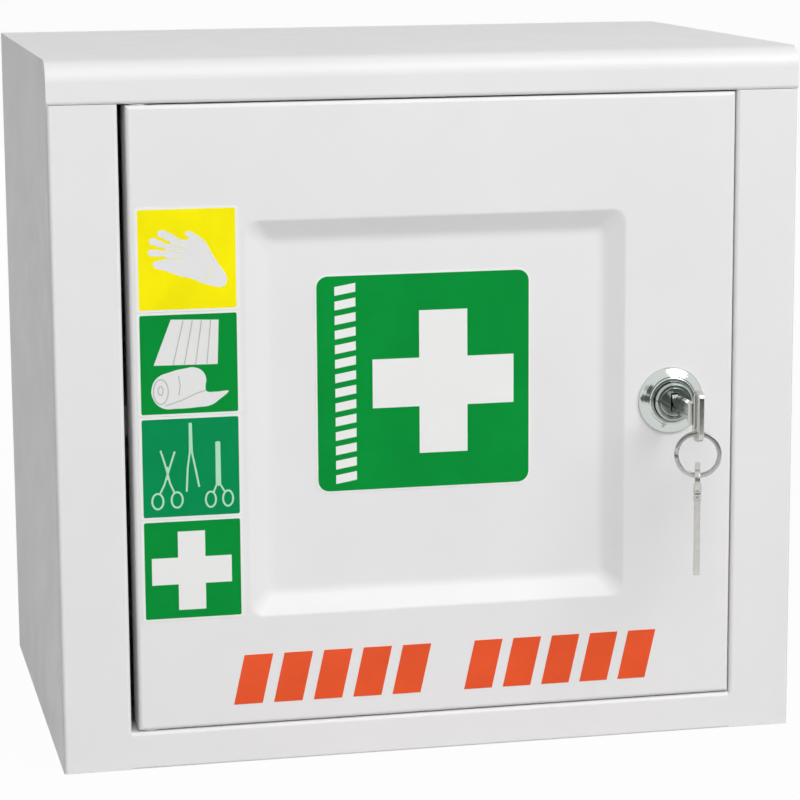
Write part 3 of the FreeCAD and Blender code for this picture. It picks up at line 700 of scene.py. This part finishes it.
def rounded_loop(wide, high, corner, middle=(0.0, 0.0), steps=6):
    """Corner points of a round-cornered rectangle in millimetres."""
    points = []
    for turn, (side_x, side_y) in enumerate(((1, 1), (-1, 1), (-1, -1), (1, -1))):
        centre_x = middle[0] + side_x * (wide / 2 - corner)
        centre_y = middle[1] + side_y * (high / 2 - corner)
        for step in range(steps + 1):
            angle = math.radians(90 * (turn + step / steps))
            points.append((centre_x + corner * math.cos(angle),
                           centre_y + corner * math.sin(angle)))
    return points


def add_curve(shape, curve):
    """Adds the mesh that a curve draws to a bmesh."""
    drawn = bpy.data.objects.new(curve.name + "_drawn", curve)
    mesh = bpy.data.meshes.new_from_object(drawn)
    bpy.data.objects.remove(drawn)
    shape.from_mesh(mesh)
    bpy.data.meshes.remove(mesh)


def layer_depth(node, layer):
    """Where a layer of ink lies along Y, counted forwards from the label's face."""
    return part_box(node)[0].y - (layer - 1) * FILM_HEIGHT * MM


def film(name, node, loops, finish=None, layer=1, soft=False):
    """A film of ink on a node's label. Loops are in millimetres from the label's middle."""
    curve = bpy.data.curves.new(name, "CURVE")
    curve.dimensions = "2D"
    curve.fill_mode = "BOTH"
    curve.extrude = FILM_HEIGHT * MM
    for loop in loops:
        spline = curve.splines.new("BEZIER" if soft else "POLY")
        points = spline.bezier_points if soft else spline.points
        points.add(len(loop) - 1)
        for point, (across, up) in zip(points, loop):
            point.co = (across * MM, up * MM, 0) if soft else (across * MM, up * MM, 0, 1)
        for point in spline.bezier_points:
            point.handle_left_type = point.handle_right_type = "AUTO"
        spline.use_cyclic_u = True
    shape = bmesh.new()
    add_curve(shape, curve)
    set_upright(shape, node, layer_depth(node, layer))
    return piece_of(name, shape, node, finish=finish, replace=False, smooth_degrees=20)


# %% [markdown]
# ## The first aid cross
# The white cross is the common first aid sign: two equal bars. As one loop of twelve corners it can
# be an opening in any film. The large label also has a strip of plain slanted bars down its left
# side.

# %% Large label


def cross_loop(span, arm, middle=(0.0, 0.0)):
    """Twelve corners of a cross that is span across with arms arm wide."""
    reach, half = span / 2, arm / 2
    corner = [(reach, half), (half, half), (half, reach)]
    points = []
    for cosine, sine in ((1, 0), (0, 1), (-1, 0), (0, -1)):
        points += [(middle[0] + cosine * x - sine * y, middle[1] + sine * x + cosine * y)
                   for x, y in corner]
    return points


def bar_loop(wide, high, slant, middle):
    """A bar whose right end is slant millimetres higher than its left."""
    left, right = middle[0] - wide / 2, middle[0] + wide / 2
    low, top = middle[1] - high / 2, middle[1] + high / 2
    return [(left, low - slant / 2), (right, low + slant / 2),
            (right, top + slant / 2), (left, top - slant / 2)]


LARGE_PRINT, LARGE_CORNER, PRINT_CORNER = 86.0, 5.0, 4.4
LARGE_CROSS_SPAN, LARGE_CROSS_ARM, LARGE_CROSS_MIDDLE = 57.5, 19.6, (8.0, -0.5)
BAR_COUNT, BAR_PITCH, BAR_HIGH, BAR_WIDE, BAR_SLANT, BAR_X = 14, 5.8, 3.5, 8.4, 1.4, -31.6
sticker("first_aid_label", LARGE_CORNER)
ground = rounded_loop(LARGE_PRINT, LARGE_PRINT, PRINT_CORNER)
cross = cross_loop(LARGE_CROSS_SPAN, LARGE_CROSS_ARM, LARGE_CROSS_MIDDLE)
bars = [bar_loop(BAR_WIDE, BAR_HIGH, BAR_SLANT, (BAR_X, BAR_PITCH * (row - (BAR_COUNT - 1) / 2)))
        for row in range(BAR_COUNT)]
film("first_aid_label_print", "first_aid_label", [ground, cross, *bars])
print("large label: a cross and", len(bars), "bars")

# %% Small labels
SMALL_WIDE, SMALL_HIGH, SMALL_CORNER, SMALL_PRINT_CORNER = 38.0, 38.9, 1.4, 0.7
SMALL_CROSS_SPAN, SMALL_CROSS_ARM, SMALL_CROSS_MIDDLE = 31.6, 10.8, (-0.4, -0.4)
SMALL_LABELS = ("cross_label", "instruments_label", "dressings_label", "glove_label")
ground = rounded_loop(SMALL_WIDE, SMALL_HIGH, SMALL_PRINT_CORNER)
cross = cross_loop(SMALL_CROSS_SPAN, SMALL_CROSS_ARM, SMALL_CROSS_MIDDLE)
for node in SMALL_LABELS:
    sticker(node, SMALL_CORNER)
for node in SMALL_LABELS:
    film(node + "_print", node, [ground, cross] if node == "cross_label" else [ground])
print("small labels", len(SMALL_LABELS))

# %% [markdown]
# ## Drawn strokes
# The instruments are line drawings. A stroke of screen ink is a little crowned, because it dries
# from its edges, so each stroke is a closed tube along its line, pressed flat to less than a tenth
# of a millimetre. Tubes that cross then melt together, where flat strips would fight for the same
# plane.

# %% Strokes of ink
STROKE_HEIGHT = 4 * FILM_HEIGHT


def stroke_shape(lines, width):
    """A mesh of flattened tubes along lines of points. Each line is (points, closed)."""
    shape = bmesh.new()
    for points, closed in lines:
        curve = bpy.data.curves.new("stroke", "CURVE")
        curve.dimensions = "3D"
        curve.bevel_depth = width / 2 * MM
        curve.bevel_resolution = 2
        curve.use_fill_caps = True
        spline = curve.splines.new("POLY")
        spline.points.add(len(points) - 1)
        for point, (across, up) in zip(spline.points, points):
            point.co = (across * MM, up * MM, 0, 1)
        spline.use_cyclic_u = closed
        add_curve(shape, curve)
    bmesh.ops.scale(shape, vec=(1, 1, STROKE_HEIGHT / width), verts=shape.verts)
    return shape


def open_line(*points):
    """A line with two ends."""
    return points, False


def round_line(radius_x, radius_y, middle, steps=20):
    """A closed oval line."""
    turns = [2 * math.pi * step / steps for step in range(steps)]
    return [(middle[0] + radius_x * math.cos(turn), middle[1] + radius_y * math.sin(turn))
            for turn in turns], True


def strokes(name, node, lines, width, finish, layer=2):
    """Lays strokes on a label."""
    shape = stroke_shape(lines, width)
    set_upright(shape, node, layer_depth(node, layer))
    return piece_of(name, shape, node, finish=finish, replace=False, smooth_degrees=60)


# %% Scissors, tweezers and clamp
PALE_INK = ink("pale_ink", (0.44, 0.74, 0.55), spread=0.03)
INSTRUMENT_STROKE = 0.75
scissors = [
    round_line(2.2, 3.1, (-13.3, -13.1)), round_line(2.2, 3.1, (-5.7, -12.8)),
    open_line((-11.9, 7.1), (-10.6, 3.0), (-9.4, -1.5), (-8.4, -6.0), (-6.7, -9.9)),
    open_line((-6.3, 6.5), (-7.6, 2.6), (-9.0, -1.6), (-10.6, -6.6), (-12.4, -10.1)),
    open_line((-9.3, 0.6), (-9.3, -4.6)),
]
tweezers = [
    open_line((-0.25, 17.6), (-0.35, 6.0), (-1.3, 0.0), (-1.9, -9.7)),
    open_line((0.25, 17.6), (0.45, 6.0), (1.8, -1.0), (3.1, -8.0)),
]
clamp = [
    round_line(2.0, 3.1, (7.6, -13.2)), round_line(2.0, 3.1, (14.4, -13.1)),
    open_line((10.1, 9.7), (10.0, -7.4), (8.8, -10.3)),
    open_line((10.7, 9.8), (10.7, -8.0)),
    open_line((11.3, 9.7), (11.4, -7.4), (13.0, -10.2)),
]
drawing = scissors + tweezers + clamp
strokes("instruments_label_lines", "instruments_label", drawing, INSTRUMENT_STROKE, PALE_INK)
print("instrument strokes", len(drawing))

# %% [markdown]
# ## Dressing, bandage and glove
# The other two labels show filled shapes: a folded dressing with its pleats over a bandage roll,
# and a pale glove on yellow. These are generic drawings, made from few points. Flat films carry the
# shapes, and strokes in a second ink draw the folds.

# %% Dressing and bandage
GREY_INK = ink("grey_ink", (0.46, 0.50, 0.47), spread=0.05)
DRESSING_WHITE = ink("dressing_white", (0.77, 0.77, 0.765), spread=0.02)
FOLD_STROKE = 0.45
PLEAT_COUNT, PLEAT_FOOT, PLEAT_TOP = 4, -0.2, 17.0
FOOT_START, FOOT_PITCH, TOP_START, TOP_PITCH = -10.6, 4.4, -5.6, 3.6
dressing = [(-13.8, -0.2), (-6.8, 17.6), (11.9, 16.9), (11.2, -0.5)]
bandage = [(-11.0, -16.9), (-14.3, -13.2), (-14.8, -9.4), (-12.8, -5.3), (-7.2, -2.9),
           (-1.4, -1.7), (2.2, -1.5), (5.2, -3.1), (6.6, -6.0), (6.3, -9.2), (6.6, -10.9),
           (10.0, -11.4), (15.2, -11.2), (15.3, -11.5), (12.1, -14.2), (8.3, -16.6),
           (3.0, -17.2), (-5.0, -17.5)]
film("dressings_label_dressing", "dressings_label", [dressing], DRESSING_WHITE, layer=2)
film("dressings_label_bandage", "dressings_label", [bandage], DRESSING_WHITE, layer=2, soft=True)
pleats = []
for step in range(1, PLEAT_COUNT + 1):
    foot = (FOOT_START + FOOT_PITCH * step, PLEAT_FOOT)
    top = (TOP_START + TOP_PITCH * step, PLEAT_TOP)
    pleats.append(open_line(foot, top))
bandage_lines = [
    round_line(2.9, 4.9, (-11.2, -10.6)), round_line(1.0, 1.7, (-11.3, -10.2)),
    open_line((-9.6, -16.2), (-3.0, -14.2), (3.0, -11.6), (6.4, -10.6)),
    open_line((-4.2, -4.6), (-3.6, -8.4), (-4.2, -12.2)),
]
drawing = pleats + bandage_lines
strokes("dressings_label_folds", "dressings_label", drawing, FOLD_STROKE, GREY_INK, layer=3)
print("dressing and bandage folds", len(drawing))

# %% Glove
GLOVE_INK = ink("glove_ink", (0.77, 0.77, 0.78), spread=0.03)
FOLD_INK = ink("glove_fold_ink", (0.84, 0.80, 0.40), spread=0.03)
glove = [(15.0, -10.2), (15.3, -7.4), (12.6, -2.8), (9.2, 2.9), (7.2, 6.6), (4.0, 9.2),
         (0.6, 10.9), (-0.7, 9.9), (0.8, 8.0), (-1.4, 7.6), (-6.6, 10.4), (-10.4, 11.4),
         (-11.3, 10.0), (-8.2, 7.8), (-6.6, 6.3), (-9.8, 7.3), (-13.6, 8.5), (-14.6, 7.1),
         (-11.2, 5.2), (-8.4, 3.9), (-11.2, 4.0), (-14.7, 3.8), (-15.0, 2.3), (-11.2, 1.4),
         (-8.2, 0.7), (-10.4, 0.0), (-13.2, -1.2), (-12.8, -2.7), (-8.6, -4.2), (-3.0, -6.4),
         (1.6, -7.6), (5.6, -9.4), (10.2, -10.8), (13.6, -11.2)]
film("glove_label_shape", "glove_label", [glove], GLOVE_INK, layer=2, soft=True)
folds = [
    open_line((-6.4, 6.3), (-0.4, 4.4)), open_line((-8.0, 3.9), (-1.6, 2.6)),
    open_line((-7.8, 0.7), (-1.4, 0.4)), open_line((9.6, -3.4), (7.4, -8.6)),
]
strokes("glove_label_folds", "glove_label", folds, FOLD_STROKE, FOLD_INK, layer=3)
print("glove outline points", len(glove), "folds", len(folds))

# %% [markdown]
# ## Keys
# Both keys are cut from one blank: a flat bow with a long slot for the ring, a raised collar that
# stops the key in the lock, and a blade with a groove milled into each side and five cuts along one
# edge. The bow is two round-cornered outlines bridged into a frame and raised to its thickness. The
# collar and the blade are rows of rings, each a cross-section of the key at one place along it,
# bridged one to the next. At a cut the ring's upper points sink, and at the tip its ends draw in.

# %% Key bow
BOW_LONG, BOW_WIDE, BOW_THICK, BOW_CORNER = 9.0, 20.5, 2.2, 3.6
SLOT_WIDE, SLOT_EDGE, SLOT_CORNER = 3.4, 2.0, 0.6
BOW_HARD_DEGREES, BOW_ROUNDING = 60, 0.35


def key_bow(shape):
    """The bow in the key's own frame: length along Y, width along Z and thickness along X."""
    middle = (BOW_LONG / 2, 0.0)
    rounded_face(shape, BOW_LONG, BOW_WIDE, BOW_CORNER, middle)
    rounded_face(shape, SLOT_WIDE, BOW_WIDE - 2 * SLOT_EDGE, SLOT_CORNER, middle)
    bmesh.ops.delete(shape, geom=shape.faces[:], context="FACES_ONLY")
    bmesh.ops.bridge_loops(shape, edges=shape.edges[:])
    raised(shape, BOW_THICK * MM)
    bmesh.ops.recalc_face_normals(shape, faces=shape.faces)
    bevel(shape, hard_edges(shape, BOW_HARD_DEGREES), BOW_ROUNDING, segments=3)
    bmesh.ops.translate(shape, verts=shape.verts, vec=(0, 0, -BOW_THICK / 2 * MM))
    along_y = Matrix(((0, 0, 1, 0), (1, 0, 0, 0), (0, 1, 0, 0), (0, 0, 0, 1)))
    bmesh.ops.transform(shape, matrix=along_y, verts=shape.verts)


# %% Collar and blade
COLLAR_WIDE, COLLAR_THICK, COLLAR_NECK, COLLAR_CHAMFER = 9.0, 3.2, 2.0, 0.25
COLLAR_STATIONS = ((8.0, 0.6), (8.2, 1.0), (10.1, 1.0), (10.9, 0.0), (11.5, 0.0), (12.3, 1.0),
                   (12.8, 1.0), (13.0, 0.6))
BLADE_START, KEY_LONG, BLADE_WIDE, BLADE_THICK, TIP_CHAMFER = 12.5, 44.0, 7.0, 2.6, 2.0
MILLED_DEPTH, MILLED_HALF, MILLED_SHIFT, MILLED_SLOPE, BLADE_CHAMFER = 0.3, 0.9, 0.7, 0.2, 0.18
CUT_SHARES, CUT_PITCH, CUT_FROM_TIP, CUT_FLAT = (0.16, 0.26, 0.10, 0.22, 0.14), 2.6, 3.4, 0.9
STATION_STEP = 0.25


def bridged(shape, rings):
    """Bridges closed rings of points in millimetres one to the next, and closes both ends."""
    before = []
    for index, ring in enumerate(rings):
        points = [shape.verts.new(Vector(point) * MM) for point in ring]
        loop = [shape.edges.new(pair) for pair in zip(points, points[1:] + points[:1])]
        if before:
            bmesh.ops.bridge_loops(shape, edges=before + loop)
        if index in (0, len(rings) - 1):
            shape.faces.new(points)
        before = loop


def collar_ring(place, fullness):
    """A chamfered rectangle across the key, between the neck's size and the bead's."""
    thick = (COLLAR_NECK + (COLLAR_THICK - COLLAR_NECK) * fullness) / 2
    wide = (COLLAR_WIDE - (COLLAR_THICK - COLLAR_NECK) * (1 - fullness)) / 2
    cut = COLLAR_CHAMFER
    corners = [(thick, cut - wide), (thick, wide - cut), (thick - cut, wide), (cut - thick, wide),
               (-thick, wide - cut), (-thick, cut - wide),
               (cut - thick, -wide), (thick - cut, -wide)]
    return [(across, place, up) for across, up in corners]


def cut_depth(place):
    """How deep the key's edge is cut at a place along it."""
    depths = [0.0]
    for index, share in enumerate(CUT_SHARES):
        middle = KEY_LONG - CUT_FROM_TIP - CUT_PITCH * index
        depths.append(share * BLADE_WIDE - max(0.0, abs(place - middle) - CUT_FLAT / 2))
    return max(depths)


def blade_ring(place):
    """The blade's section with its two milled grooves, cut and drawn in as its place asks."""
    thick, wide, cut, slope = BLADE_THICK / 2, BLADE_WIDE / 2, BLADE_CHAMFER, MILLED_SLOPE
    side = [(thick, cut - wide), (thick, MILLED_SHIFT - MILLED_HALF),
            (thick - MILLED_DEPTH, MILLED_SHIFT - MILLED_HALF + slope),
            (thick - MILLED_DEPTH, MILLED_SHIFT + MILLED_HALF - slope),
            (thick, MILLED_SHIFT + MILLED_HALF), (thick, wide - cut), (thick - cut, wide)]
    ring = side + [(-across, -up) for across, up in side]
    reach = wide - max(0.0, place - (KEY_LONG - TIP_CHAMFER))
    top = min(reach, wide - cut_depth(place))
    return [(across, place, max(-reach, min(up, top if abs(across) < thick else top - cut)))
            for across, up in ring]


def key_blank():
    """The whole key in its own frame, made of three closed shells that run into each other."""
    shape = bmesh.new()
    key_bow(shape)
    bridged(shape, [collar_ring(place, fullness) for place, fullness in COLLAR_STATIONS])
    steps = round((KEY_LONG - BLADE_START) / STATION_STEP)
    bridged(shape, [blade_ring(BLADE_START + step * STATION_STEP) for step in range(steps + 1)])
    return shape


# %% [markdown]
# ## The two keys in place
# The blank lies along Y. The key in the lock only has to be carried there. The spare hangs from the
# ring's bottom, so it is stood on end and then turned with the ring.

# %% Place the keys
RING_TURN = math.radians(-18.5)
KEY_SMOOTH_DEGREES = 35
key_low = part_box("key")[0]
shape = key_blank()
bmesh.ops.translate(shape, verts=shape.verts, vec=(LOCK_X, key_low.y, LOCK_Z))
key = piece_of("key_milled", shape, "key", smooth_degrees=KEY_SMOOTH_DEGREES)
spare_low, spare_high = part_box("spare_key")
spare_top = Vector(((spare_low.x + spare_high.x) / 2,
                    (spare_low.y + spare_high.y) / 2,
                    spare_high.z))
shape = key_blank()
stand = Matrix.Rotation(RING_TURN, 4, "Z") @ Matrix.Rotation(math.radians(-90), 4, "X")
bmesh.ops.transform(shape, matrix=Matrix.Translation(spare_top) @ stand, verts=shape.verts)
piece_of("spare_key_milled", shape, "spare_key", smooth_degrees=KEY_SMOOTH_DEGREES)
print("key faces", len(key.data.polygons))

# %% [markdown]
# ## Split ring
# A split ring is one wire wound twice round, its coils lying side by side. The wire starts in the
# front layer, goes nearly all the way round, steps over to the rear layer and goes round again.
# Spinning the wire's section three times does just that: flat, with a sideways shift, and flat
# again.

# %% Split ring of two coils
RING_WIRE, WIRE_CORNER, COIL_GAP = 1.8, 0.22, 0.04
STEP_DEGREES, SPLIT_DEGREES = 24, 200
SEGMENT_DEGREES, LEAST_SEGMENTS = 4, 6
LONG_TURN = 360 - STEP_DEGREES
ring_low, ring_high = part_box("key_ring")
ring_middle = (ring_low + ring_high) / 2
ring_radius = (ring_high.z - ring_low.z) / 2 / MM
coil = RING_WIRE / 2 - COIL_GAP / 2
section_middle = (ring_radius - RING_WIRE / 2, -(coil + COIL_GAP) / 2)
shape = bmesh.new()
rounded_face(shape, RING_WIRE, coil, WIRE_CORNER, section_middle, segments=3)
side_step = (coil + COIL_GAP) * MM
end = shape.faces[:]
for degrees, shift in ((LONG_TURN, 0.0), (STEP_DEGREES, side_step), (LONG_TURN, 0.0)):
    steps = max(LEAST_SEGMENTS, degrees // SEGMENT_DEGREES)
    spun = bmesh.ops.spin(shape, geom=end, cent=(0, 0, 0), axis=(0, 1, 0),
                          angle=math.radians(degrees), steps=steps,
                          dvec=(0, shift / steps, 0), use_merge=False)
    end = spun["geom_last"]
turn = Matrix.Rotation(RING_TURN, 4, "Z") @ Matrix.Rotation(math.radians(SPLIT_DEGREES), 4, "Y")
bmesh.ops.transform(shape, matrix=Matrix.Translation(ring_middle) @ turn, verts=shape.verts)
ring = piece_of("key_ring_coils", shape, "key_ring")
print("ring radius in mm", round(ring_radius, 2), "faces", len(ring.data.polygons))
